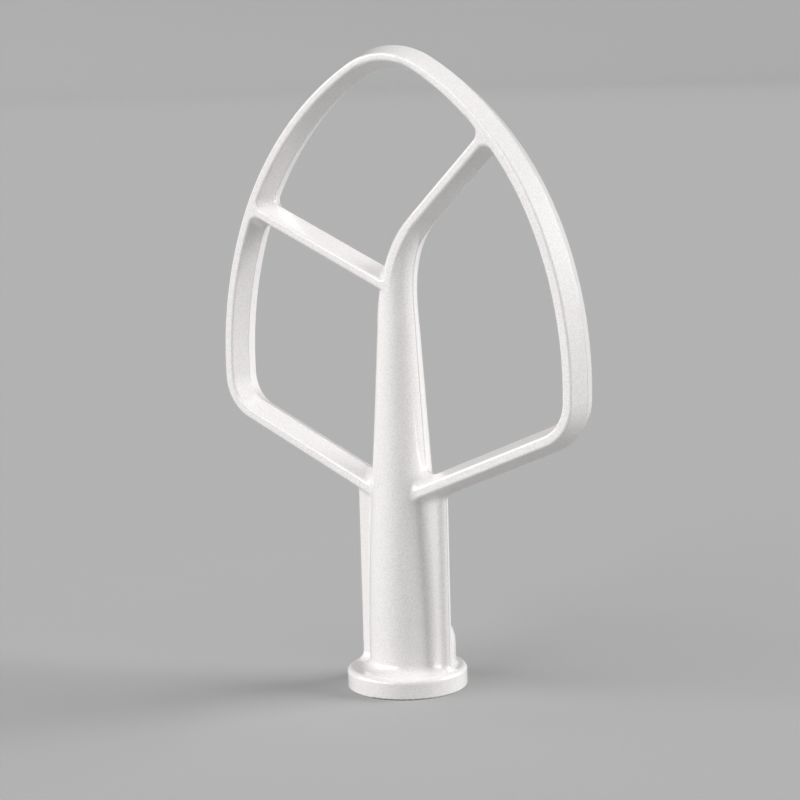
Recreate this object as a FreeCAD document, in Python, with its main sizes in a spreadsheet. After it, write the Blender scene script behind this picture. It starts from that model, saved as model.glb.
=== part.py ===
import FreeCAD, Part
import math
import os

import Sketcher

# Flat beater of a stand mixer, cast in one piece and coated.
# It stands on its collar: +Z runs up the stem, the bars lie in the XZ plane, and the origin is the centre
# of the collar's underside, where the mixer's shaft enters. The mixer's cross pin locks in a bayonet slot.

BODY_LABEL = "flat_beater"

# Driving dimensions in millimetres and degrees: alias, value, what it sets.
SIZES = [
    ("band_width", 7.7, "width of the band at its sides, in the middle of its depth"),
    ("apex_width", 6.9, "width of the band at its top"),
    ("arm_width", 7.6, "width of the lower arms"),
    ("crossbar_width", 7.4, "width of the crossbar"),
    ("diagonal_width", 7.6, "width of the diagonal"),
    ("bar_depth", 11.9, "depth of the band and bars, front to back"),
    ("draft_angle", 22.0, "slope of a bar's sides from the middle of its depth to its front and back"),
    ("bar_edge_round", 1.1, "rounding of a bar's long edges"),
    ("crest_round", 1.2, "rounding of the crest along the middle of a bar's sides"),
    ("frame_height", 200.5, "top of the frame above the collar's underside"),
    ("half_width", 65.3, "stem's axis to the band's centre line at its widest"),
    ("widest_height", 99.6, "height of the band's widest point"),
    ("apex_radius", 26.9, "band's centre line over the top"),
    ("side_radius", 118.7, "band's centre line at the side"),
    ("shoulder_angle", 22.6, "turn of the side's arc before the shoulder's arc takes over"),
    ("corner_radius", 13.0, "band's centre line at a lower corner"),
    ("saddle_radius", 9.0, "arms' centre line where they meet inside the stem"),
    ("arm_height", 59.3, "height at which the arms' centre lines meet the stem's axis"),
    ("arm_angle", 23.0, "rise of the lower arms"),
    ("crossbar_height", 126.8, "height at which the crossbar's centre line meets the stem's axis"),
    ("crossbar_angle", 23.1, "rise of the crossbar"),
    ("diagonal_height", 138.0, "height at which the diagonal's centre line meets the stem's axis"),
    ("diagonal_angle", 43.5, "rise of the diagonal"),
    ("bend_radius", 37.0, "centre line of the bend from stem to diagonal"),
    ("bend_tuck", 0.4, "how far the bend's last section stays inside the diagonal"),
    ("web_round", 3.2, "rounding in the corners where bars meet the band"),
    ("fork_round", 1.4, "rounding in the fork of crossbar and diagonal"),
    ("root_round", 3.0, "hollow round where bars and fins meet the stem, and where it meets the collar"),
    ("crossbar_root_round", 1.0, "hollow round where the crossbar meets the stem's bend"),
    ("collar_radius", 19.0, "outside of the collar"),
    ("collar_height", 6.4, "thickness of the collar"),
    ("rim_round", 0.5, "rounding of the collar's lower rim"),
    ("crown_round", 1.6, "rounding of the collar's upper rim"),
    ("hub_radius", 11.8, "foot of the shank, at the collar"),
    ("knee_radius", 10.3, "stem where its barrel shape becomes a cone"),
    ("knee_height", 54.0, "height at which the stem's barrel shape becomes a cone"),
    ("neck_radius", 6.6, "stem at the upper end of its cone"),
    ("neck_run", 8.0, "upper end of the stem's cone below the start of the bend"),
    ("fin_inset", 2.2, "outer edge of a fin inside the collar's edge"),
    ("fin_thickness", 5.0, "thickness of a fin"),
    ("boss_inset", 3.5, "outside of the pin boss inside the collar's edge"),
    ("boss_rise", 7.1, "upright wall of the pin boss above the collar"),
    ("boss_dome", 11.0, "radius of the pin boss's domed top"),
    ("boss_sweep", 114.0, "turn of the pin boss, from the right fin round to the back"),
    ("boss_round", 1.6, "rounding of the pin boss's free end"),
    ("boss_root_round", 1.0, "hollow round at the root of the pin boss"),
    ("shaft_radius", 6.35, "the mixer's shaft"),
    ("shaft_clearance", 0.1, "play of the shaft in its socket, on the radius"),
    ("bore_depth", 40.0, "depth of the shaft socket"),
    ("bore_bevel", 0.8, "lead-in at the socket's mouth"),
    ("pin_diameter", 4.6, "cross pin of the mixer's shaft"),
    ("pin_clearance", 0.2, "play of the pin on each side of its slot"),
    ("slot_reach", 12.2, "stem's axis to the outer wall of the pin's slot"),
    ("slot_floor", 8.4, "height at which the pin starts to turn"),
    ("slot_headroom", 1.2, "space over the pin as it turns"),
    ("slot_turn", 40.0, "turn of the pin from its entry to its seat"),
    ("seat_drop", 2.0, "how far the pin's seat lies towards the mouth"),
]

# Formulas on the sheet that more than one sketch or feature uses.
HALF_BAND = "Sizes.band_width / 2"
HALF_ARM = "Sizes.arm_width / 2"
HALF_DIAGONAL = "Sizes.diagonal_width / 2"
DRAFT_RUN = "(Sizes.bar_depth / 2 * tan(Sizes.draft_angle * 1 deg))"
BAR_WIDTHS = ("band_width", "apex_width", "arm_width", "crossbar_width", "diagonal_width")
NARROWEST = f"(min({'; '.join(f'Sizes.{name}' for name in BAR_WIDTHS)}) - 2 * {DRAFT_RUN})"
EDGE_SHARE = 0.45
EDGE_ROUND = f"min(Sizes.bar_edge_round; {EDGE_SHARE} * {NARROWEST})"
BEND_TURN = "(90 - Sizes.diagonal_angle)"
BEND_HEIGHT = f"(Sizes.diagonal_height - Sizes.bend_radius * tan({BEND_TURN} / 2 * 1 deg))"
NECK_HEIGHT = f"({BEND_HEIGHT} - Sizes.neck_run)"
STEM_TAPER = f"((Sizes.knee_radius - Sizes.neck_radius) / ({NECK_HEIGHT} - Sizes.knee_height))"
BEND_START_RADIUS = f"(Sizes.neck_radius - {STEM_TAPER} * Sizes.neck_run)"
FIN_REACH = "(Sizes.collar_radius - Sizes.fin_inset)"
FIN_FOOT = "(Sizes.collar_height / 2)"
FIN_TOP = f"(Sizes.arm_height + tan(Sizes.arm_angle * 1 deg) * ({FIN_REACH} + Sizes.knee_radius) / 2)"
BORE_RADIUS = "(Sizes.shaft_radius + Sizes.shaft_clearance)"
HALF_SLOT = "(Sizes.pin_diameter / 2 + Sizes.pin_clearance)"
SLOT_TOP = "(Sizes.slot_floor + Sizes.pin_diameter + Sizes.slot_headroom)"

# Sketcher's numbers for the ends of a line or arc, and for the sketch's origin and upright axis.
START, END, CENTRE = range(1, 4)
ORIGIN = (-1, 1)
UPRIGHT = -2

# Two skins this close count as touching.
TOUCH = 0.01

# Two faces meet at a corner where the cosine of the angle between their normals is under this.
ALIKE = math.cos(math.pi / 7)


def make_sheet(doc):
    """Put the driving dimensions into a spreadsheet, one alias a row."""
    sheet = doc.addObject("Spreadsheet::Sheet", "Sizes")
    for row, (alias, number, note) in enumerate(SIZES, start=1):
        sheet.set(f"A{row}", alias)
        sheet.set(f"B{row}", str(number))
        sheet.set(f"C{row}", note)
        sheet.setAlias(f"B{row}", alias)
    doc.recompute()


def value(body, formula):
    """Number that a formula on the sheet gives, in millimetres or degrees."""
    result = body.evalExpression(formula)
    return float(getattr(result, "Value", result))


def origin_plane(body, role):
    """One of the body's origin planes."""
    return next(item for item in body.Origin.OriginFeatures if item.Role == role)


def point(x, y):
    """Point of a sketch."""
    return FreeCAD.Vector(x, y, 0)


def mirrored(spot):
    """Mirror image of a sketch's point in its upright axis."""
    return point(-spot.x, spot.y)


def polar(centre, radius, angle):
    """Point at a radius and an angle in radians round a centre."""
    return centre + point(radius * math.cos(angle), radius * math.sin(angle))


def bearing(start, end):
    """Angle in radians of the line from one point to another."""
    return math.atan2(end.y - start.y, end.x - start.x)


def meet_circle(start, angle, centre, radius):
    """Far point where a line from a start at an angle meets a circle."""
    unit = polar(point(0, 0), 1, angle)
    offset = start - centre
    half = offset.dot(unit)
    return start + unit * (math.sqrt(half ** 2 - offset.dot(offset) + radius ** 2) - half)


class Outline:
    """A sketch on one of the body's origin planes, with its lines, arcs and sizes."""

    def __init__(self, body, name, role):
        self.body = body
        self.sketch = body.newObject("Sketcher::SketchObject", name)
        self.sketch.AttachmentSupport = (origin_plane(body, role), [""])
        self.sketch.MapMode = "FlatFace"

    def value(self, formula):
        """Number that a formula on the sheet gives."""
        return value(self.body, formula)

    def place(self, axis=FreeCAD.Vector(0, 0, 1), **formulas):
        """Move the sketch off its plane by formulas for x, y and z, and turn it by one about an axis."""
        turn = formulas.pop("turn", None)
        self.sketch.AttachmentOffset = FreeCAD.Placement(FreeCAD.Vector(), FreeCAD.Rotation(axis, 1))
        self.sketch.setExpression("AttachmentOffset.Rotation.Angle", turn or "0 deg")
        for letter, formula in formulas.items():
            self.sketch.setExpression(f"AttachmentOffset.Base.{letter}", formula)

    def line(self, start, end, guide=False):
        """Line between two points, and its number."""
        return self.sketch.addGeometry(Part.LineSegment(start, end), guide)

    def arc(self, centre, radius, first, last):
        """Arc between two angles in radians, counter-clockwise, and its number."""
        circle = Part.Circle(centre, FreeCAD.Vector(0, 0, 1), radius)
        return self.sketch.addGeometry(Part.ArcOfCircle(circle, first, last), False)

    def circle(self, centre, radius, guide=False):
        """Circle, and its number."""
        return self.sketch.addGeometry(Part.Circle(centre, FreeCAD.Vector(0, 0, 1), radius), guide)

    def fix(self, kind, *where):
        """Constraint without a size."""
        self.sketch.addConstraint(Sketcher.Constraint(kind, *where))

    def size(self, name, kind, where, formula):
        """Constraint whose size follows a formula on the sheet."""
        number = self.value(formula)
        if kind == "Angle":
            number = math.radians(number)
        index = self.sketch.addConstraint(Sketcher.Constraint(kind, *where, number))
        self.sketch.renameConstraint(index, name)
        self.sketch.setExpression(f"Constraints.{name}", formula)

    def join(self, chain):
        """Make each line of a closed chain start where the one before it ends."""
        for first, second in zip(chain, chain[1:] + chain[:1]):
            self.fix("Coincident", first, END, second, START)

    def rectangle(self, left, right, low, high):
        """Upright rectangle between formulas for its four sides."""
        west, east, south, north = (self.value(side) for side in (left, right, low, high))
        corners = [point(west, south), point(east, south), point(east, north), point(west, north)]
        sides = [self.line(start, end) for start, end in zip(corners, corners[1:] + corners[:1])]
        self.join(sides)
        for number, side in enumerate(sides):
            self.fix("Vertical" if number % 2 else "Horizontal", side)
        bottom, _, top, _ = sides
        self.size("left", "DistanceX", (*ORIGIN, bottom, START), left)
        self.size("right", "DistanceX", (*ORIGIN, bottom, END), right)
        self.size("low", "DistanceY", (*ORIGIN, bottom, START), low)
        self.size("high", "DistanceY", (*ORIGIN, top, START), high)


class Band:
    """Arcs of the frame's band right of the stem, shifted to the outside or inside of its centre line."""

    def __init__(self, body, shift, arm_shift, apex_height):
        self.apex_radius = value(body, "Sizes.apex_radius") + shift
        self.side_radius = value(body, "Sizes.side_radius") + shift
        self.corner_radius = value(body, "Sizes.corner_radius") + shift
        self.saddle_radius = value(body, "Sizes.saddle_radius") + arm_shift
        self.rise = math.radians(value(body, "Sizes.arm_angle"))
        self.shoulder_angle = math.radians(value(body, "Sizes.shoulder_angle"))
        self.apex = point(0, apex_height)
        side_inset = value(body, "Sizes.side_radius - Sizes.half_width")
        self.side = point(-side_inset, value(body, "Sizes.widest_height"))
        arm_height = value(body, "Sizes.arm_height")
        self.saddle = point(0, arm_height + (self.saddle_radius - arm_shift) / math.cos(self.rise))
        self.joint = polar(self.side, self.side_radius, self.shoulder_angle)
        self.set_shoulder()
        self.set_corner(point(0, arm_height + (self.corner_radius - arm_shift) / math.cos(self.rise)))

    def set_shoulder(self):
        """Arc that leaves the side's arc at the joint and touches the apex's arc."""
        unit = polar(point(0, 0), 1, self.shoulder_angle)
        offset = self.joint - self.apex
        self.shoulder_radius = ((offset.dot(offset) - self.apex_radius ** 2)
                                / (2 * (offset.dot(unit) - self.apex_radius)))
        self.shoulder = self.joint - unit * self.shoulder_radius
        self.apex_angle = bearing(self.shoulder, self.apex)

    def set_corner(self, base):
        """Arc that touches the side's arc from inside and the arm, from a point above the arm's root."""
        reach = self.side_radius - self.corner_radius
        self.corner = meet_circle(base, self.rise, self.side, reach)
        self.corner_angle = bearing(self.side, self.corner)


def ring(outline, sign, apex_height):
    """Closed outline of the band and the arms, half their width outside or inside their centre line."""
    mark = "+" if sign > 0 else "-"
    shift, arm_shift = (sign * outline.value(half) for half in (HALF_BAND, HALF_ARM))
    band = Band(outline.body, shift, arm_shift, outline.value(apex_height))
    down = 1.5 * math.pi
    apex = outline.arc(band.apex, band.apex_radius, band.apex_angle, math.pi - band.apex_angle)
    left_shoulder = outline.arc(mirrored(band.shoulder), band.shoulder_radius,
                                math.pi - band.apex_angle, math.pi - band.shoulder_angle)
    left_side = outline.arc(mirrored(band.side), band.side_radius,
                            math.pi - band.shoulder_angle, math.pi - band.corner_angle)
    left_corner = outline.arc(mirrored(band.corner), band.corner_radius,
                              math.pi - band.corner_angle, down - band.rise)
    arm_tip = polar(band.corner, band.corner_radius, down + band.rise)
    arm_root = polar(band.saddle, band.saddle_radius, down + band.rise)
    left_arm = outline.line(mirrored(arm_tip), mirrored(arm_root))
    saddle = outline.arc(band.saddle, band.saddle_radius, down - band.rise, down + band.rise)
    right_arm = outline.line(arm_root, arm_tip)
    right_corner = outline.arc(band.corner, band.corner_radius,
                               down + band.rise, 2 * math.pi + band.corner_angle)
    right_side = outline.arc(band.side, band.side_radius, band.corner_angle, band.shoulder_angle)
    right_shoulder = outline.arc(band.shoulder, band.shoulder_radius, band.shoulder_angle, band.apex_angle)
    chain = [apex, left_shoulder, left_side, left_corner, left_arm, saddle,
             right_arm, right_corner, right_side, right_shoulder]
    for first, second in zip(chain, chain[1:] + chain[:1]):
        outline.fix("Tangent", first, END, second, START)
    for middle in (apex, saddle):
        outline.fix("PointOnObject", middle, CENTRE, UPRIGHT)
    for left, right in ((left_shoulder, right_shoulder), (left_side, right_side),
                        (left_corner, right_corner), (left_arm, right_arm)):
        outline.fix("Equal", left, right)
    outline.fix("Symmetric", left_side, CENTRE, right_side, CENTRE, UPRIGHT)
    for name, number in (("apex", apex), ("side", right_side), ("corner", right_corner)):
        outline.size(name, "Radius", (number,), f"Sizes.{name}_radius {mark} {HALF_BAND}")
    outline.size("saddle", "Radius", (saddle,), f"Sizes.saddle_radius {mark} {HALF_ARM}")
    outline.size("apex_height", "DistanceY", (*ORIGIN, apex, CENTRE), apex_height)
    outline.size("side_inset", "DistanceX", (right_side, CENTRE, *ORIGIN),
                 "Sizes.side_radius - Sizes.half_width")
    outline.size("side_height", "DistanceY", (*ORIGIN, right_side, CENTRE), "Sizes.widest_height")
    joint_rise = f"(Sizes.side_radius {mark} {HALF_BAND}) * sin(Sizes.shoulder_angle * 1 deg)"
    outline.size("joint_height", "DistanceY", (*ORIGIN, right_side, END),
                 f"Sizes.widest_height + {joint_rise}")
    outline.size("saddle_height", "DistanceY", (*ORIGIN, saddle, CENTRE),
                 "Sizes.arm_height + Sizes.saddle_radius / cos(Sizes.arm_angle * 1 deg)")
    outline.size("arm_angle", "Angle", (right_arm,), "Sizes.arm_angle * 1 deg")


def shoulder_guide(outline, sign):
    """Guide circle in the band's left or right shoulder where a bar ends, and its centre and radius."""
    apex_height = f"Sizes.frame_height - {HALF_BAND} - Sizes.apex_radius"
    band = Band(outline.body, outline.value(DRAFT_RUN), 0, outline.value(apex_height))
    side, joint, shoulder = (point(sign * spot.x, spot.y) for spot in (band.side, band.joint, band.shoulder))
    spoke = outline.line(side, joint, guide=True)
    apex_circle = outline.circle(band.apex, band.apex_radius, guide=True)
    shoulder_circle = outline.circle(shoulder, band.shoulder_radius, guide=True)
    outline.fix("PointOnObject", apex_circle, CENTRE, UPRIGHT)
    outline.fix("PointOnObject", shoulder_circle, CENTRE, spoke)
    outline.fix("PointOnObject", spoke, END, shoulder_circle)
    outline.fix("Tangent", apex_circle, shoulder_circle)
    ends = (spoke, START, *ORIGIN) if sign > 0 else (*ORIGIN, spoke, START)
    angle = "Sizes.shoulder_angle * 1 deg"
    outline.size("guide_inset", "DistanceX", ends, "Sizes.side_radius - Sizes.half_width")
    outline.size("guide_height", "DistanceY", (*ORIGIN, spoke, START), "Sizes.widest_height")
    outline.size("guide_length", "Distance", (spoke,), f"Sizes.side_radius + {DRAFT_RUN}")
    outline.size("guide_angle", "Angle", (spoke,), angle if sign > 0 else f"180 deg - {angle}")
    outline.size("guide_apex", "Radius", (apex_circle,), f"Sizes.apex_radius + {DRAFT_RUN}")
    outline.size("guide_apex_height", "DistanceY", (*ORIGIN, apex_circle, CENTRE), apex_height)
    return shoulder_circle, shoulder, band.shoulder_radius


def pad_to_front(body, name, outline):
    """Pad a sketch of the frame's plane to the front by half the bars' depth, narrower by the draft."""
    pad = body.newObject("PartDesign::Pad", name)
    pad.Profile = outline.sketch
    pad.setExpression("Length", "Sizes.bar_depth / 2")
    pad.setExpression("TaperAngle", "-Sizes.draft_angle")
    body.Document.recompute()
    return pad


def add_frame(body):
    """Front half of the closed band with the two lower arms: a plate cut open by a window that widens."""
    plate = Outline(body, "FrameOutline", "XZ_Plane")
    ring(plate, 1, f"Sizes.frame_height - {HALF_BAND} - Sizes.apex_radius")
    pad_to_front(body, "Frame", plate)
    opening = Outline(body, "WindowOutline", "XZ_Plane")
    ring(opening, -1, f"Sizes.frame_height + {HALF_BAND} - Sizes.apex_width - Sizes.apex_radius")
    window = body.newObject("PartDesign::Pocket", "Window")
    window.Profile = opening.sketch
    window.Reversed = True
    window.setExpression("Length", "Sizes.bar_depth / 2")
    window.setExpression("TaperAngle", "Sizes.draft_angle")
    body.Document.recompute()
    return window


def add_crossbar(body):
    """Straight bar from the stem up to the left side of the band."""
    outline = Outline(body, "CrossbarOutline", "XZ_Plane")
    guide, centre, radius = shoulder_guide(outline, -1)
    heading = math.radians(180 - outline.value("Sizes.crossbar_angle"))
    angle = "Sizes.crossbar_angle * 1 deg"
    start = f"{DRAFT_RUN} * cos({angle})"
    height = f"Sizes.crossbar_height - {DRAFT_RUN} * sin({angle})"
    root = point(outline.value(start), outline.value(height))
    tip = meet_circle(root, heading, centre, radius)
    half = polar(point(0, 0), outline.value("Sizes.crossbar_width / 2"), heading + math.pi / 2)
    spine = outline.line(root, tip, guide=True)
    corners = [root + half, tip + half, tip - half, root - half]
    low, cap, high, foot = (outline.line(a, b) for a, b in zip(corners, corners[1:] + corners[:1]))
    outline.join([low, cap, high, foot])
    outline.fix("PointOnObject", spine, END, guide)
    outline.fix("Symmetric", cap, START, cap, END, spine, END)
    outline.fix("Symmetric", foot, START, foot, END, spine, START)
    outline.fix("Perpendicular", cap, spine)
    outline.fix("Perpendicular", foot, spine)
    outline.fix("Equal", cap, foot)
    outline.size("width", "Distance", (cap,), "Sizes.crossbar_width")
    outline.size("start", "DistanceX", (*ORIGIN, spine, START), start)
    outline.size("height", "DistanceY", (*ORIGIN, spine, START), height)
    outline.size("angle", "Angle", (spine,), f"180 deg - {angle}")
    return pad_to_front(body, "Crossbar", outline)


def add_diagonal(body):
    """Bar that bends out of the stem and runs up to the right side of the band."""
    outline = Outline(body, "DiagonalOutline", "XZ_Plane")
    guide, guide_centre, guide_radius = shoulder_guide(outline, 1)
    slope = math.radians(outline.value("Sizes.diagonal_angle"))
    radius = outline.value("Sizes.bend_radius")
    half = outline.value(HALF_DIAGONAL)
    centre = point(radius, outline.value(BEND_HEIGHT))
    leave = math.pi / 2 + slope
    tip = meet_circle(polar(centre, radius, leave), slope, guide_centre, guide_radius)
    across = polar(point(0, 0), half, slope - math.pi / 2)
    inner = outline.arc(centre, radius - half, leave, math.pi)
    outer = outline.arc(centre, radius + half, leave, math.pi)
    low = outline.line(polar(centre, radius - half, leave), tip + across)
    cap = outline.line(tip + across, tip - across)
    high = outline.line(tip - across, polar(centre, radius + half, leave))
    root = outline.value(NECK_HEIGHT)
    left_leg = outline.line(point(-half, centre.y), point(-half, root))
    foot = outline.line(point(-half, root), point(half, root))
    right_leg = outline.line(point(half, root), point(half, centre.y))
    middle = outline.sketch.addGeometry(Part.Point(tip), True)
    for first, second in ((left_leg, foot), (foot, right_leg), (low, cap), (cap, high)):
        outline.fix("Coincident", first, END, second, START)
    outline.fix("Coincident", inner, CENTRE, outer, CENTRE)
    outline.fix("Tangent", inner, START, low, START)
    outline.fix("Tangent", high, END, outer, START)
    outline.fix("Tangent", outer, END, left_leg, START)
    outline.fix("Tangent", right_leg, END, inner, END)
    outline.fix("Vertical", left_leg)
    outline.fix("Vertical", right_leg)
    outline.fix("Horizontal", foot)
    outline.fix("Parallel", low, high)
    outline.fix("Perpendicular", cap, low)
    outline.fix("Symmetric", cap, START, cap, END, middle, START)
    outline.fix("PointOnObject", middle, START, guide)
    outline.size("inner", "Radius", (inner,), f"Sizes.bend_radius - {HALF_DIAGONAL}")
    outline.size("outer", "Radius", (outer,), f"Sizes.bend_radius + {HALF_DIAGONAL}")
    outline.size("reach", "DistanceX", (*ORIGIN, inner, CENTRE), "Sizes.bend_radius")
    outline.size("height", "DistanceY", (*ORIGIN, inner, CENTRE), BEND_HEIGHT)
    outline.size("angle", "Angle", (low,), "Sizes.diagonal_angle * 1 deg")
    outline.size("root", "DistanceY", (*ORIGIN, foot, START), NECK_HEIGHT)
    return pad_to_front(body, "Diagonal", outline)


def add_stem(body):
    """Collar, barrel-shaped shank and conical stem, turned about the upright axis."""
    outline = Outline(body, "StemProfile", "XZ_Plane")
    collar, top_height = outline.value("Sizes.collar_radius"), outline.value("Sizes.collar_height")
    rim, crown = (outline.value(f"Sizes.{name}_round") for name in ("rim", "crown"))
    hub = point(outline.value("Sizes.hub_radius"), top_height)
    knee = point(outline.value("Sizes.knee_radius"), outline.value("Sizes.knee_height"))
    neck = point(outline.value("Sizes.neck_radius"), outline.value(NECK_HEIGHT))
    lean = bearing(knee, neck) - math.pi / 2
    chord = knee - hub
    barrel_radius = chord.dot(chord) / (2 * chord.dot(polar(point(0, 0), 1, lean)))
    barrel_centre = polar(knee, -barrel_radius, lean)
    base = outline.line(point(0, 0), point(collar - rim, 0))
    rim_arc = outline.arc(point(collar - rim, rim), rim, -math.pi / 2, 0)
    wall = outline.line(point(collar, rim), point(collar, top_height - crown))
    crown_arc = outline.arc(point(collar - crown, top_height - crown), crown, 0, math.pi / 2)
    top = outline.line(point(collar - crown, top_height), hub)
    barrel = outline.arc(barrel_centre, barrel_radius, bearing(barrel_centre, hub), lean)
    cone = outline.line(knee, neck)
    lid = outline.line(neck, point(0, neck.y))
    axis = outline.line(point(0, neck.y), point(0, 0))
    for first, first_end, second, second_end in ((base, END, rim_arc, START), (rim_arc, END, wall, START),
                                                 (wall, END, crown_arc, START), (crown_arc, END, top, START),
                                                 (barrel, END, cone, START)):
        outline.fix("Tangent", first, first_end, second, second_end)
    for first, second in ((top, barrel), (cone, lid), (lid, axis), (axis, base)):
        outline.fix("Coincident", first, END, second, START)
    outline.fix("Coincident", base, START, *ORIGIN)
    for level in (base, top, lid):
        outline.fix("Horizontal", level)
    for upright in (wall, axis):
        outline.fix("Vertical", upright)
    outline.size("rim_round", "Radius", (rim_arc,), "Sizes.rim_round")
    outline.size("crown_round", "Radius", (crown_arc,), "Sizes.crown_round")
    outline.size("collar_radius", "DistanceX", (*ORIGIN, wall, START), "Sizes.collar_radius")
    outline.size("collar_height", "DistanceY", (*ORIGIN, top, START), "Sizes.collar_height")
    outline.size("hub_radius", "DistanceX", (*ORIGIN, barrel, START), "Sizes.hub_radius")
    outline.size("knee_radius", "DistanceX", (*ORIGIN, barrel, END), "Sizes.knee_radius")
    outline.size("knee_height", "DistanceY", (*ORIGIN, barrel, END), "Sizes.knee_height")
    outline.size("neck_radius", "DistanceX", (*ORIGIN, cone, END), "Sizes.neck_radius")
    outline.size("neck_height", "DistanceY", (*ORIGIN, cone, END), NECK_HEIGHT)
    stem = body.newObject("PartDesign::Revolution", "Stem")
    stem.Profile = outline.sketch
    stem.ReferenceAxis = (outline.sketch, ["V_Axis"])
    stem.Angle = 360
    body.Document.recompute()
    return stem


def oval(body, name, width, depth):
    """Sketch of an oval round the stem's line, its width and depth given by formulas."""
    outline = Outline(body, name, "XY_Plane")
    across, back = outline.value(width) / 2, outline.value(depth) / 2
    ellipse = Part.Ellipse(point(0, back), point(across, 0), point(0, 0))
    number = outline.sketch.addGeometry(ellipse, False)
    outline.sketch.exposeInternalGeometry(number)
    long_axis, short_axis = number + 1, number + 2
    outline.fix("Coincident", number, CENTRE, *ORIGIN)
    outline.fix("Vertical", long_axis)
    outline.size("depth", "Distance", (long_axis,), depth)
    outline.size("width", "Distance", (short_axis,), width)
    return outline


def disc(body, name, radius):
    """Sketch of a circle round the stem's line, its radius given by a formula."""
    outline = Outline(body, name, "XY_Plane")
    number = outline.circle(point(0, 0), outline.value(radius))
    outline.fix("Coincident", number, CENTRE, *ORIGIN)
    outline.size("radius", "Radius", (number,), radius)
    return outline


def add_bend(body):
    """Loft that turns the round stem into the flat diagonal as it bends to the right."""
    end_depth = "(Sizes.bar_depth - 2 * Sizes.bend_tuck)"
    lost = f"({end_depth} * tan(Sizes.draft_angle * 1 deg))"
    end_width = f"(sqrt(Sizes.diagonal_width ^ 2 - {lost} ^ 2) - 2 * Sizes.bend_tuck)"
    mean_width = f"({BEND_START_RADIUS} + {end_width} / 2)"
    mean_depth = f"({BEND_START_RADIUS} + {end_depth} / 2)"
    sections = [disc(body, "BendNeck", "Sizes.neck_radius"),
                disc(body, "BendStart", BEND_START_RADIUS),
                oval(body, "BendMiddle", mean_width, mean_depth),
                oval(body, "BendEnd", end_width, end_depth)]
    sections[0].place(z=NECK_HEIGHT)
    for section, share in zip(sections[1:], (0, 0.5, 1)):
        turn = f"{BEND_TURN} * {share} * 1 deg"
        section.place(axis=FreeCAD.Vector(0, 1, 0), turn=turn, x=f"Sizes.bend_radius * (1 - cos({turn}))",
                      z=f"{BEND_HEIGHT} + Sizes.bend_radius * sin({turn})")
    bend = body.newObject("PartDesign::AdditiveLoft", "Bend")
    bend.Profile = sections[0].sketch
    bend.Sections = [section.sketch for section in sections[1:]]
    body.Document.recompute()
    return bend


def add_fins(body):
    """One plate through the shank that stands out as a fin on each side, from the collar up into the arms."""
    outline = Outline(body, "FinSection", "XY_Plane")
    outline.place(z=FIN_FOOT)
    half = outline.value("Sizes.fin_thickness / 2")
    run = outline.value(FIN_REACH) - half
    front = outline.line(point(-run, -half), point(run, -half))
    right = outline.arc(point(run, 0), half, -math.pi / 2, math.pi / 2)
    back = outline.line(point(run, half), point(-run, half))
    left = outline.arc(point(-run, 0), half, math.pi / 2, 1.5 * math.pi)
    chain = [front, right, back, left]
    for first, second in zip(chain, chain[1:] + chain[:1]):
        outline.fix("Tangent", first, END, second, START)
    outline.fix("Horizontal", front)
    outline.fix("Symmetric", left, CENTRE, right, CENTRE, *ORIGIN)
    outline.size("round", "Radius", (right,), "Sizes.fin_thickness / 2")
    outline.size("run", "DistanceX", (*ORIGIN, right, CENTRE), f"{FIN_REACH} - Sizes.fin_thickness / 2")
    fins = body.newObject("PartDesign::Pad", "Fins")
    fins.Profile = outline.sketch
    fins.setExpression("Length", f"{FIN_TOP} - {FIN_FOOT}")
    body.Document.recompute()
    return fins


def add_boss(body):
    """Thickened wall with a domed top behind the right fin, which holds the pin's slot."""
    outline = Outline(body, "BossProfile", "XZ_Plane")
    inside = f"({BORE_RADIUS} + Sizes.hub_radius) / 2"
    outside = "(Sizes.collar_radius - Sizes.boss_inset)"
    shoulder = "(Sizes.collar_height + Sizes.boss_rise)"
    left, right, low, high = (outline.value(side) for side in (inside, outside, FIN_FOOT, shoulder))
    radius = outline.value("Sizes.boss_dome")
    centre = point(right - radius, high)
    tip = point(left, high + math.sqrt(radius ** 2 - (left - centre.x) ** 2))
    base = outline.line(point(left, low), point(right, low))
    wall = outline.line(point(right, low), point(right, high))
    dome = outline.arc(centre, radius, 0, bearing(centre, tip))
    back = outline.line(tip, point(left, low))
    outline.fix("Tangent", wall, END, dome, START)
    for first, second in ((base, wall), (dome, back), (back, base)):
        outline.fix("Coincident", first, END, second, START)
    outline.fix("Horizontal", base)
    for upright in (wall, back):
        outline.fix("Vertical", upright)
    outline.size("inside", "DistanceX", (*ORIGIN, base, START), inside)
    outline.size("outside", "DistanceX", (*ORIGIN, base, END), outside)
    outline.size("low", "DistanceY", (*ORIGIN, base, START), FIN_FOOT)
    outline.size("high", "DistanceY", (*ORIGIN, wall, END), shoulder)
    outline.size("dome", "Radius", (dome,), "Sizes.boss_dome")
    boss = body.newObject("PartDesign::Revolution", "Boss")
    boss.Profile = outline.sketch
    boss.ReferenceAxis = (outline.sketch, ["V_Axis"])
    boss.setExpression("Angle", "Sizes.boss_sweep")
    body.Document.recompute()
    return boss


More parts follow.
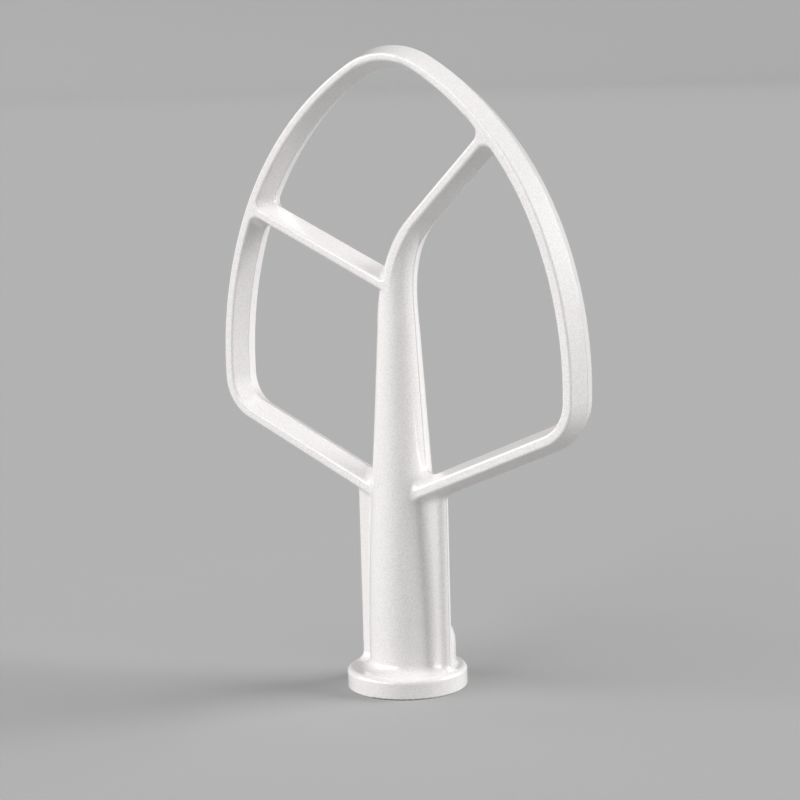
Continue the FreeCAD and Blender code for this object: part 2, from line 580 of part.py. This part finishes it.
def add_socket(body):
    """Blind socket for the mixer's shaft, open at the collar's underside."""
    outline = Outline(body, "SocketProfile", "XZ_Plane")
    radius = outline.value(BORE_RADIUS)
    depth, bevel = outline.value("Sizes.bore_depth"), outline.value("Sizes.bore_bevel")
    corners = [point(0, 0), point(radius + bevel, 0), point(radius, bevel),
               point(radius, depth), point(0, depth)]
    mouth, lead, wall, end, axis = (outline.line(a, b) for a, b in zip(corners, corners[1:] + corners[:1]))
    outline.join([mouth, lead, wall, end, axis])
    outline.fix("Coincident", mouth, START, *ORIGIN)
    for level in (mouth, end):
        outline.fix("Horizontal", level)
    for upright in (wall, axis):
        outline.fix("Vertical", upright)
    outline.size("radius", "DistanceX", (*ORIGIN, wall, START), BORE_RADIUS)
    outline.size("mouth", "DistanceX", (*ORIGIN, mouth, END), f"{BORE_RADIUS} + Sizes.bore_bevel")
    outline.size("bevel", "DistanceY", (*ORIGIN, wall, START), "Sizes.bore_bevel")
    outline.size("depth", "DistanceY", (*ORIGIN, wall, END), "Sizes.bore_depth")
    socket = body.newObject("PartDesign::Groove", "Socket")
    socket.Profile = outline.sketch
    socket.ReferenceAxis = (outline.sketch, ["V_Axis"])
    socket.Angle = 360
    body.Document.recompute()
    return socket


def add_pin_way(body, name, turn, low):
    """Straight pocket for the pin, at a turn from the back and from a height up to the slot's top."""
    outline = Outline(body, f"{name}Section", "XY_Plane")
    outline.place(z=low, turn=turn)
    outline.rectangle(f"-{HALF_SLOT}", HALF_SLOT, "0", "Sizes.slot_reach")
    pocket = body.newObject("PartDesign::Pocket", name)
    pocket.Profile = outline.sketch
    pocket.Reversed = True
    pocket.setExpression("Length", f"{SLOT_TOP} - ({low})")
    body.Document.recompute()
    return pocket


def add_pin_turn(body):
    """Curved space in which the pin turns from its entry to its seat."""
    outline = Outline(body, "PinTurnProfile", "YZ_Plane")
    outline.rectangle(f"{BORE_RADIUS} / 2", "Sizes.slot_reach", "Sizes.slot_floor", SLOT_TOP)
    turn = body.newObject("PartDesign::Groove", "PinTurn")
    turn.Profile = outline.sketch
    turn.ReferenceAxis = (outline.sketch, ["V_Axis"])
    turn.Reversed = True
    turn.setExpression("Angle", "Sizes.slot_turn")
    body.Document.recompute()
    return turn


def middle_of(edge):
    """Point halfway along an edge."""
    return edge.valueAt((edge.FirstParameter + edge.LastParameter) / 2)


def edge_names(shape, test):
    """Names of a shape's edges that pass a test."""
    return [f"Edge{number}" for number, edge in enumerate(shape.Edges, start=1) if test(edge)]


def on_skin(spot, shape):
    """True where a point lies on the faces of a shape."""
    return Part.Vertex(spot).distToShape(Part.Compound(shape.Faces))[0] < TOUCH


def tool_of(feature):
    """Solid that a feature adds or takes away, in the body's frame."""
    tool = feature.AddSubShape.copy()
    tool.Placement = feature.Placement.multiply(tool.Placement)
    return tool


def seam_names(joined, base, feature):
    """Names of the edges of a joined shape along which a feature meets its base."""
    tool = tool_of(feature)
    return edge_names(joined, lambda edge: on_skin(middle_of(edge), tool) and on_skin(middle_of(edge), base))


def end_wall_names(joined, base, turn):
    """Names of the free edges of the flat wall in which a feature turned about the axis ends."""
    normal = polar(point(0, 0), 1, math.radians(turn + 90))
    return edge_names(joined, lambda edge: abs(middle_of(edge).dot(normal)) < TOUCH
                      and all(abs(vertex.Point.dot(normal)) < TOUCH for vertex in edge.Vertexes)
                      and not on_skin(middle_of(edge), base))


def is_corner(shape, edge, depth):
    """True for an edge from the middle of the bars' depth to their front where two sides meet at an angle."""
    first, last = (vertex.Point for vertex in edge.Vertexes[:1] + edge.Vertexes[-1:])
    if abs(last.y - first.y) < depth - TOUCH:
        return False
    faces = shape.ancestorsOfType(edge, Part.Face)
    normals = [face.normalAt(*face.Surface.parameter(first)) for face in faces]
    return len(normals) == 2 and normals[0].dot(normals[1]) < ALIKE


def add_rounds(body, name, base, edges, radius):
    """Round the named edges of a feature to a radius given by a formula."""
    rounds = body.newObject("PartDesign::Fillet", name)
    rounds.Base = (base, edges)
    rounds.setExpression("Radius", radius)
    body.Document.recompute()
    return rounds


def in_level(edge, depth):
    """True for an edge that keeps to one depth of the bars, measured to the back."""
    spots = [middle_of(edge)] + [vertex.Point for vertex in edge.Vertexes]
    return all(abs(spot.y - depth) < TOUCH for spot in spots)


def round_bars(body, bars):
    """Round the front half's corners and front edges, mirror it to the back and round the crests."""
    joined = bars.Shape
    depth = value(body, "Sizes.bar_depth / 2")
    stem_zone = value(body, "Sizes.half_width / 4")
    webs = edge_names(joined, lambda edge: (is_corner(joined, edge, depth)
                                            and abs(middle_of(edge).x) > stem_zone))
    webbed = add_rounds(body, "WebRounds", bars, webs, "Sizes.web_round")
    shape = webbed.Shape
    fork = value(body, BEND_HEIGHT)
    forks = edge_names(shape, lambda edge: is_corner(shape, edge, depth) and middle_of(edge).z > fork)
    forked = add_rounds(body, "ForkRounds", webbed, forks, "Sizes.fork_round")
    rims = edge_names(forked.Shape, lambda edge: in_level(edge, -depth))
    front = add_rounds(body, "BarEdges", forked, rims, EDGE_ROUND)
    both = body.newObject("PartDesign::Mirrored", "BothHalves")
    both.TransformMode = "Whole shape"
    both.MirrorPlane = (origin_plane(body, "XZ_Plane"), [""])
    body.Tip = both
    body.Document.recompute()
    crests = edge_names(both.Shape, lambda edge: in_level(edge, 0))
    return add_rounds(body, "CrestRounds", both, crests, "Sizes.crest_round")


def round_roots(body, bars, stem, bend, fins):
    """Round the corners where arms, crossbar and fins meet the stem, and where it meets the collar."""
    joined = fins.Shape
    top = value(body, "Sizes.collar_height")
    hub = value(body, "Sizes.hub_radius")

    def is_foot(edge):
        spot = middle_of(edge)
        return abs(spot.z - top) < TOUCH and abs(math.hypot(spot.x, spot.y) - hub) < TOUCH

    roots = set(seam_names(joined, bars.Shape, stem) + seam_names(joined, bend.Shape, fins)
                + edge_names(joined, is_foot))
    rooted = add_rounds(body, "RootRounds", fins, sorted(roots), "Sizes.root_round")
    bend_tool = tool_of(bend)

    def is_crossbar_root(edge):
        spot = middle_of(edge)
        return spot.x < 0 and on_skin(spot, bend_tool) and on_skin(spot, bars.Shape)

    crossbar = edge_names(rooted.Shape, is_crossbar_root)
    return add_rounds(body, "CrossbarRoot", rooted, crossbar, "Sizes.crossbar_root_round")


def build(doc):
    """Whole beater as one body."""
    body = doc.addObject("PartDesign::Body", "Beater")
    body.Label = BODY_LABEL
    add_frame(body)
    add_crossbar(body)
    bars = round_bars(body, add_diagonal(body))
    rooted = round_roots(body, bars, add_stem(body), add_bend(body), add_fins(body))
    boss = add_boss(body)
    boss_end = end_wall_names(boss.Shape, rooted.Shape, value(body, "Sizes.boss_sweep"))
    ended = add_rounds(body, "BossEnd", boss, boss_end, "Sizes.boss_round")
    boss_roots = seam_names(ended.Shape, rooted.Shape, boss)
    add_rounds(body, "BossRounds", ended, boss_roots, "Sizes.boss_root_round")
    add_socket(body)
    add_pin_way(body, "PinEntry", "0 deg", "0")
    add_pin_turn(body)
    add_pin_way(body, "PinSeat", "-Sizes.slot_turn * 1 deg", "Sizes.slot_floor - Sizes.seat_drop")
    return body


def main():
    doc = FreeCAD.newDocument("flat_beater")
    make_sheet(doc)
    body = build(doc)
    for item in doc.Objects:
        if item.State and ("Invalid" in item.State or "Error" in item.State):
            raise RuntimeError(f"{item.Name} failed: {item.State}")
    shape = body.Shape
    if shape.isNull() or not shape.isValid():
        raise RuntimeError(f"{body.Label} has no valid shape")
    os.makedirs("parts", exist_ok=True)
    shape.exportStep(f"parts/{body.Label}.step")
    print(body.Label, round(shape.Volume, 1), "mm3", shape.BoundBox)


main()
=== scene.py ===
"""Looks of a stand mixer's flat beater: its cast body in a glossy white coat, on a pale studio floor."""

import logging
import math
from dataclasses import dataclass
from enum import Enum

import bmesh
import bpy
from mathutils import Matrix, Vector

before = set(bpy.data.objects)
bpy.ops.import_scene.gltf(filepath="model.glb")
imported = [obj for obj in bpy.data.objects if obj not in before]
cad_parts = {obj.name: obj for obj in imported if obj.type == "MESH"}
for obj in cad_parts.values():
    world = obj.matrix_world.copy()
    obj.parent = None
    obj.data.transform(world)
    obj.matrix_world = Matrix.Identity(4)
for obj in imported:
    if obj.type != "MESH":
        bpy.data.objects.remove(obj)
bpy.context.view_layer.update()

LOG = logging.getLogger("flat_beater")

Colour = tuple[float, float, float]
Place = tuple[float, float, float]
Range = tuple[float, float]


class NodeKind(Enum):
    """Shader nodes that the finishes are made of."""

    COORDINATES = "ShaderNodeTexCoord"
    NOISE = "ShaderNodeTexNoise"
    RAMP = "ShaderNodeValToRGB"
    SPLIT = "ShaderNodeSeparateXYZ"
    MATH = "ShaderNodeMath"
    RANGE = "ShaderNodeMapRange"
    BUMP = "ShaderNodeBump"


class NodeSheet:
    """A material's node tree, with short ways to add and join nodes."""

    def __init__(self, name: str) -> None:
        """Start a material with a Principled shader.

        Args:
            name: the material's name.
        """
        self.material = bpy.data.materials.new(name)
        self.material.use_nodes = True
        self.tree = self.material.node_tree
        self.shader = self.tree.nodes["Principled BSDF"]

    def add(self, kind: NodeKind, **settings: object) -> bpy.types.Node:
        """Add a node.

        Args:
            kind: which node it is.
            **settings: values of the node's own properties.

        Returns:
            The new node.
        """
        node = self.tree.nodes.new(kind.value)
        for name, value in settings.items():
            setattr(node, name, value)
        return node

    def join(self, start: bpy.types.NodeSocket, end: bpy.types.NodeSocket) -> None:
        """Link an output to an input."""
        self.tree.links.new(start, end)

    def noise(self, place: bpy.types.NodeSocket, size: float, detail: float) -> bpy.types.NodeSocket:
        """Add a noise pattern.

        Args:
            place: coordinates that it reads.
            size: width of one of its spots, in metres.
            detail: octaves of finer spots on top.

        Returns:
            The pattern's value, about 0.5 on average.
        """
        node = self.add(NodeKind.NOISE)
        node.inputs["Scale"].default_value = 1 / size
        node.inputs["Detail"].default_value = detail
        self.join(place, node.inputs["Vector"])
        return node.outputs["Fac"]

    def between(self, value: bpy.types.NodeSocket, ends: Range, result: Range) -> bpy.types.NodeSocket:
        """Carry a value smoothly from one range to another, held at both ends.

        Args:
            value: what is carried over.
            ends: range that it comes from.
            result: range that it goes to.

        Returns:
            The value in its new range.
        """
        node = self.add(NodeKind.RANGE, interpolation_type="SMOOTHSTEP")
        for name, number in zip(("From Min", "From Max", "To Min", "To Max"), (*ends, *result)):
            node.inputs[name].default_value = number
        self.join(value, node.inputs["Value"])
        return node.outputs["Result"]

    def bump(self, height: bpy.types.NodeSocket, rise: float,
             under: bpy.types.NodeSocket | None = None) -> bpy.types.NodeSocket:
        """Raise the surface by a pattern.

        Args:
            height: pattern from 0 to 1.
            rise: height of its peaks, in metres.
            under: normal of a coarser bump below it.

        Returns:
            The new normal.
        """
        node = self.add(NodeKind.BUMP)
        node.inputs["Distance"].default_value = rise
        self.join(height, node.inputs["Height"])
        if under is not None:
            self.join(under, node.inputs["Normal"])
        return node.outputs["Normal"]


@dataclass(frozen=True)
class WhiteCoat:
    """Baked white coat of the casting: gloss over a fine pearly grain, with lengths in metres."""

    white: Colour = (0.91, 0.89, 0.882)
    grain_shade: Colour = (0.75, 0.727, 0.718)
    grain_ends: Range = (0.36, 0.64)
    grain_size: float = 0.00036
    grain_detail: float = 2.0
    grain_rise: float = 0.00002
    peel_size: float = 0.0035
    peel_detail: float = 1.0
    peel_rise: float = 0.00003
    roughness_low: float = 0.26
    roughness_high: float = 0.42
    roughness_ends: Range = (0.3, 0.7)
    gloss: float = 0.85
    gloss_roughness: float = 0.07
    seam_half_width: float = 0.00035
    seam_rise: float = 0.00015
    seam_foot: float = 0.0066
    seam_fade: float = 0.00132

    def material(self) -> bpy.types.Material:
        """Make the coat's material.

        Returns:
            A material on Object coordinates, in metres.
        """
        sheet = NodeSheet("white_coat")
        shader = sheet.shader
        place = sheet.add(NodeKind.COORDINATES).outputs["Object"]
        grain = sheet.noise(place, self.grain_size, self.grain_detail)
        ramp = sheet.add(NodeKind.RAMP)
        shades = (self.grain_shade, self.white)
        for stop, shade, spot in zip(ramp.color_ramp.elements, shades, self.grain_ends):
            stop.color = (*shade, 1.0)
            stop.position = spot
        sheet.join(grain, ramp.inputs["Fac"])
        sheet.join(ramp.outputs["Color"], shader.inputs["Base Color"])
        rough = sheet.between(grain, self.roughness_ends, (self.roughness_high, self.roughness_low))
        sheet.join(rough, shader.inputs["Roughness"])
        peel = sheet.bump(sheet.noise(place, self.peel_size, self.peel_detail), self.peel_rise)
        ridged = sheet.bump(self.seam(sheet, place), self.seam_rise, peel)
        sheet.join(sheet.bump(grain, self.grain_rise, ridged), shader.inputs["Normal"])
        sheet.join(ridged, shader.inputs["Coat Normal"])
        shader.inputs["Coat Weight"].default_value = self.gloss
        shader.inputs["Coat Roughness"].default_value = self.gloss_roughness
        return sheet.material

    def seam(self, sheet: NodeSheet, place: bpy.types.NodeSocket) -> bpy.types.NodeSocket:
        """Trace the casting's parting line, a low ridge where the two halves of its mould met.

        Args:
            sheet: node tree that it goes into.
            place: coordinates that it reads.

        Returns:
            The ridge's height, from 0 to 1.
        """
        parts = sheet.add(NodeKind.SPLIT)
        sheet.join(place, parts.inputs["Vector"])
        distance = sheet.add(NodeKind.MATH, operation="ABSOLUTE")
        sheet.join(parts.outputs["Y"], distance.inputs[0])
        ridge = sheet.between(distance.outputs["Value"], (0.0, self.seam_half_width), (1.0, 0.0))
        fade = (self.seam_foot, self.seam_foot + self.seam_fade)
        above = sheet.between(parts.outputs["Z"], fade, (0.0, 1.0))
        kept = sheet.add(NodeKind.MATH, operation="MULTIPLY")
        sheet.join(ridge, kept.inputs[0])
        sheet.join(above, kept.inputs[1])
        return kept.outputs["Value"]


@dataclass(frozen=True)
class PaleFloor:
    """Matt pale paper of the studio."""

    pale: Colour = (0.4, 0.4, 0.4)
    roughness: float = 0.9

    def material(self) -> bpy.types.Material:
        """Make the paper's plain material.

        Returns:
            A material with no gloss.
        """
        sheet = NodeSheet("pale_floor")
        sheet.shader.inputs["Base Color"].default_value = (*self.pale, 1.0)
        sheet.shader.inputs["Roughness"].default_value = self.roughness
        sheet.shader.inputs["Specular IOR Level"].default_value = 0.0
        return sheet.material


@dataclass
class Beater:
    """The beater's casting, one piece of metal."""

    node: str = "flat_beater"
    coat: WhiteCoat = WhiteCoat()

    def dress(self) -> bpy.types.Object:
        """Coat the casting.

        Returns:
            The casting's object.
        """
        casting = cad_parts[self.node]
        casting.data.materials.clear()
        casting.data.materials.append(self.coat.material())
        return casting


@dataclass(frozen=True)
class Lamp:
    """Broad soft light from far off, which lights the beater and the whole floor alike.

    Its place and spread are in degrees, and its strength is in watts per square metre.
    """

    name: str
    azimuth: float
    elevation: float
    spread: float
    strength: float

    def hang(self) -> bpy.types.Object:
        """Hang the lamp.

        Returns:
            The lamp's object.
        """
        data = bpy.data.lights.new(self.name, "SUN")
        data.angle = math.radians(self.spread)
        data.energy = self.strength
        lamp = bpy.data.objects.new(self.name, data)
        away = direction(self.azimuth, self.elevation)
        lamp.location = away
        lamp.rotation_euler = (-away).to_track_quat("-Z", "Y").to_euler()
        bpy.context.scene.collection.objects.link(lamp)
        return lamp


@dataclass
class Studio:
    """Pale paper that sweeps up all round the beater, soft lamps and an even sky.

    Its lengths are in metres.
    """

    floor_reach: float = 12.0
    sweep_radius: float = 2.0
    sweep_steps: int = 16
    wall_height: float = 2.0
    turns: int = 96
    weld: float = 1e-5
    sky: float = 0.1
    paper: PaleFloor = PaleFloor()
    lamps: tuple[Lamp, ...] = (
        Lamp("top_lamp", 20, 75, 60, 0.8),
        Lamp("left_lamp", -50, 20, 40, 1.85),
        Lamp("front_lamp", -10, 20, 40, 1.5),
        Lamp("right_lamp", 130, 20, 40, 4.0),
    )

    def lay_paper(self) -> bpy.types.Object:
        """Make the floor, which turns up into a wall at its edge.

        Returns:
            The floor's object.
        """
        mesh = bpy.data.meshes.new("studio_floor")
        sheet = bmesh.new()
        spots = [(0, 0, 0), (self.floor_reach, 0, 0), (self.floor_reach, 0, self.wall_height)]
        corners = [sheet.verts.new(spot) for spot in spots]
        for pair in zip(corners, corners[1:]):
            sheet.edges.new(pair)
        bmesh.ops.bevel(sheet, geom=[corners[1]], offset=self.sweep_radius, segments=self.sweep_steps,
                        profile=0.5, affect="VERTICES", material=-1)
        bmesh.ops.spin(sheet, geom=sheet.verts[:] + sheet.edges[:], axis=(0, 0, 1), cent=(0, 0, 0),
                       angle=2 * math.pi, steps=self.turns, use_merge=True)
        bmesh.ops.remove_doubles(sheet, verts=sheet.verts[:], dist=self.weld)
        bmesh.ops.recalc_face_normals(sheet, faces=sheet.faces[:])
        for face in sheet.faces:
            face.smooth = True
        sheet.to_mesh(mesh)
        sheet.free()
        mesh.materials.append(self.paper.material())
        floor = bpy.data.objects.new("studio_floor", mesh)
        bpy.context.scene.collection.objects.link(floor)
        return floor

    def light(self) -> list[bpy.types.Object]:
        """Light the sky and hang the lamps.

        Returns:
            The lamps.
        """
        world = bpy.data.worlds.new("studio_sky")
        world.use_nodes = True
        background = world.node_tree.nodes["Background"]
        background.inputs["Color"].default_value = (self.sky, self.sky, self.sky, 1.0)
        bpy.context.scene.world = world
        return [lamp.hang() for lamp in self.lamps]


@dataclass(frozen=True)
class PhotoCamera:
    """Camera at the photograph's place, found by fitting the beater's outline to it.

    Its place is in metres, its turns are in degrees, and its lens and sensor are in millimetres.
    """

    place: Place = (0.42252, -0.55810, 0.19968)
    azimuth: float = 37.141
    dip: float = 8.813
    roll: float = -1.504
    lens: float = 102.363
    sensor: float = 36.0
    nearest: float = 0.01

    def set_up(self) -> bpy.types.Object:
        """Make it the scene's camera.

        Returns:
            The camera's object.
        """
        data = bpy.data.cameras.new("photo_camera")
        data.lens = self.lens
        data.sensor_width = self.sensor
        data.clip_start = self.nearest
        camera = bpy.data.objects.new("photo_camera", data)
        level = Matrix.Rotation(math.radians(self.azimuth), 4, "Z")
        dipped = Matrix.Rotation(math.radians(90 - self.dip), 4, "X")
        rolled = Matrix.Rotation(math.radians(self.roll), 4, "Z")
        camera.matrix_world = Matrix.Translation(self.place) @ level @ dipped @ rolled
        bpy.context.scene.collection.objects.link(camera)
        bpy.context.scene.camera = camera
        return camera


def direction(azimuth: float, elevation: float) -> Vector:
    """Direction from the beater outwards.

    Args:
        azimuth: degrees round from the front towards the right.
        elevation: degrees above the floor.

    Returns:
        A unit vector.
    """
    turn, rise = math.radians(azimuth), math.radians(elevation)
    return Vector((math.sin(turn) * math.cos(rise), -math.cos(turn) * math.cos(rise), math.sin(rise)))


def main() -> None:
    """Dress the beater, then build the studio round it."""
    logging.basicConfig(level=logging.INFO)
    bpy.context.scene.view_settings.view_transform = "Standard"
    casting = Beater().dress()
    LOG.info("coated %s", casting.name)
    studio = Studio()
    floor = studio.lay_paper()
    LOG.info("laid %s", floor.name)
    for lamp in studio.light():
        LOG.info("hung %s", lamp.name)
    LOG.info("set up %s", PhotoCamera().set_up().name)


if __name__ == "__main__":
    main()
